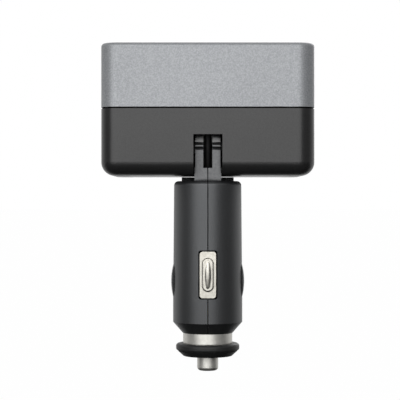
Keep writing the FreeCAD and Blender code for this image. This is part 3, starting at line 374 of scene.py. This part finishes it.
# leads: a straight riser, and the loop above it that stays in the head
leads = ["lead_positive", "lead_negative"]
leadValues = {"climb": 24, "turn": 16, "sides": 16, "bendFrom": 0.045, "bendTo": 0.0575}


def makeTube(name, node, path, radius, sides):
    corners, faces = [], []
    for index, point in enumerate(path):
        along = (path[min(index + 1, len(path) - 1)] - path[max(index - 1, 0)]).normalized()
        across = Vector((1, 0, 0))
        up = along.cross(across)
        for side in range(sides):
            angle = 2 * math.pi * side / sides
            corners.append(point + radius * (math.cos(angle) * across + math.sin(angle) * up))
    for ring in range(len(path) - 1):
        for side in range(sides):
            a, b = ring * sides + side, ring * sides + (side + 1) % sides
            faces.append((a, b, b + sides, a + sides))
    faces.append(tuple(reversed(range(sides))))
    faces.append(tuple(range((len(path) - 1) * sides, len(path) * sides)))
    mesh = bpy.data.meshes.new(name)
    mesh.from_pydata(corners, [], faces)
    mesh.shade_smooth()
    mesh.materials.append(materials["leadRubber"])
    tube = bpy.data.objects.new(name, mesh)
    bpy.context.collection.objects.link(tube)
    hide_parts(node)
    return tube


def makeLead(node, values):
    low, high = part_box(node)
    radius = (high.x - low.x) / 2
    rise, fall = low.y + radius, high.y - radius
    bend = (fall - rise) / 2
    crest = high.z - radius - bend
    lowest = min(vertex.co.z for vertex in nodes[node].data.vertices if vertex.co.y > fall - radius)
    joint = values["bendTo"]
    climb, turn = values["climb"], values["turn"]
    riser = [Vector((0, rise, low.z + (joint - low.z) * step / climb)) for step in range(climb + 1)]
    loop = [Vector((0, rise, joint))]
    for step in range(turn + 1):
        angle = math.pi * (1 - step / turn)
        loop.append(Vector((0, (rise + fall) / 2 + bend * math.cos(angle), crest + bend * math.sin(angle))))
    loop.append(Vector((0, fall, lowest)))
    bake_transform(makeTube(node + "Riser", node, riser, radius, values["sides"]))
    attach(makeTube(node + "Loop", node, loop, radius, values["sides"]), "head")


for name in leads:
    makeLead(name, leadValues)
print("leads made")

# springs, each copied with a mesh of its own and joined to the plug
springs = {
    "tip_spring": {"joint": "tip_press", "axis": (0, 0, 1), "fixedEnd": 1},
    "contact_spring_front": {"joint": "front_contact_press", "axis": (0, 1, 0), "fixedEnd": 1},
    "contact_spring_rear": {"joint": "rear_contact_press", "axis": (0, 1, 0), "fixedEnd": 0},
}


def makeSpring(node):
    spring = bpy.data.objects.new(node + "Sprung", nodes[node].data.copy())
    bpy.context.collection.objects.link(spring)
    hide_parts(node)
    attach(spring, "plug")
    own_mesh(spring)


for name, values in springs.items():
    makeSpring(name)
print("springs made")

# floor, light and camera


def backShare(tree, vector, low, high):
    # 1 on the backdrop's side, 0 on the open side of the studio
    share = tree.nodes.new("ShaderNodeMapRange")
    share.interpolation_type = "SMOOTHSTEP"
    share.inputs["From Min"].default_value = low
    share.inputs["From Max"].default_value = high
    tree.links.new(splitAxes(tree, vector)["Y"], share.inputs["Value"])
    return share.outputs["Result"]


floorValues = {"height": -0.06, "size": 30.0, "paleness": 0.993, "color": (0.04, 0.04, 0.04, 1), "roughness": 0.9,
               "specular": 0.1, "whiteFrom": 0.045, "whiteTo": 0.13}


def makeFloor(values):
    half = values["size"] / 2
    mesh = bpy.data.meshes.new("floor")
    mesh.from_pydata([(-half, -half, 0), (half, -half, 0), (half, half, 0), (-half, half, 0)], [], [(0, 1, 2, 3)])
    floor = bpy.data.objects.new("floor", mesh)
    bpy.context.collection.objects.link(floor)
    floor.location.z = values["height"]
    material = bpy.data.materials.new("paleFloor")
    material.use_nodes = True
    tree = material.node_tree
    shader = tree.nodes["Principled BSDF"]
    shader.inputs["Base Color"].default_value = values["color"]
    shader.inputs["Roughness"].default_value = values["roughness"]
    shader.inputs["Specular IOR Level"].default_value = values["specular"]
    glow = tree.nodes.new("ShaderNodeEmission")
    rays = tree.nodes.new("ShaderNodeLightPath")
    place = tree.nodes.new("ShaderNodeTexCoord")
    other = larger(tree, rays.outputs["Is Glossy Ray"], rays.outputs["Is Transmission Ray"])
    behind = backShare(tree, place.outputs["Object"], values["whiteFrom"], values["whiteTo"])
    seen = larger(tree, rays.outputs["Is Camera Ray"], times(tree, other, behind))
    surface = tree.nodes.new("ShaderNodeMixShader")
    tree.links.new(times(tree, seen, values["paleness"]), surface.inputs[0])
    tree.links.new(shader.outputs[0], surface.inputs[1])
    tree.links.new(glow.outputs[0], surface.inputs[2])
    tree.links.new(surface.outputs[0], tree.nodes["Material Output"].inputs["Surface"])
    mesh.materials.append(material)


worldValues = {"fill": 0.08, "openSide": 0.5, "whiteFrom": -0.15, "whiteTo": 0.5}


def makeWorld(values):
    world = bpy.data.worlds.new("studio")
    bpy.context.scene.world = world
    world.use_nodes = True
    tree = world.node_tree
    rays = tree.nodes.new("ShaderNodeLightPath")
    place = tree.nodes.new("ShaderNodeTexCoord")
    other = larger(tree, rays.outputs["Is Glossy Ray"], rays.outputs["Is Transmission Ray"])
    behind = backShare(tree, place.outputs["Generated"], values["whiteFrom"], values["whiteTo"])
    shown = larger(tree, behind, values["openSide"])
    seen = larger(tree, rays.outputs["Is Camera Ray"], times(tree, other, shown))
    white = tree.nodes["Background"]
    white.inputs["Color"].default_value = (1, 1, 1, 1)
    tree.links.new(larger(tree, seen, values["fill"]), white.inputs["Strength"])


lampAim = Vector((0, 0, 0.04))
lamps = {
    "keyPanel": {"place": (-0.13, -0.62, 0.18), "size": (1.0, 0.45), "power": 5.1},
    "backPanel": {"place": (0.3, 0.75, 0.35), "size": (0.5, 0.5), "power": 1.5},
    "topPanel": {"place": (0.1, 0.1, 0.7), "size": (0.5, 0.5), "power": 0.6},
}


def makeLamp(name, values):
    lamp = bpy.data.lights.new(name, "AREA")
    lamp.shape = "RECTANGLE"
    lamp.size, lamp.size_y = values["size"]
    lamp.energy = values["power"]
    panel = bpy.data.objects.new(name, lamp)
    bpy.context.collection.objects.link(panel)
    panel.location = values["place"]
    panel.rotation_euler = (lampAim - Vector(values["place"])).to_track_quat("-Z", "Y").to_euler()


cameraValues = {"place": (-0.00227, -0.45, 0.03584), "pixelsPerMetre": 3390.0, "frame": 400, "sensor": 36,
                "clipStart": 0.01}


def makeCamera(values):
    camera = bpy.data.cameras.new("photoView")
    camera.sensor_fit = "HORIZONTAL"
    camera.sensor_width = values["sensor"]
    span = values["frame"] / values["pixelsPerMetre"]
    camera.lens = camera.sensor_width * -values["place"][1] / span
    camera.clip_start = values["clipStart"]
    viewer = bpy.data.objects.new("photoView", camera)
    bpy.context.collection.objects.link(viewer)
    viewer.location = values["place"]
    viewer.rotation_euler = (math.pi / 2, 0, 0)
    bpy.context.scene.camera = viewer


makeFloor(floorValues)
makeWorld(worldValues)
for name, values in lamps.items():
    makeLamp(name, values)
makeCamera(cameraValues)
bpy.context.scene.view_settings.view_transform = "Standard"
print("studio made")
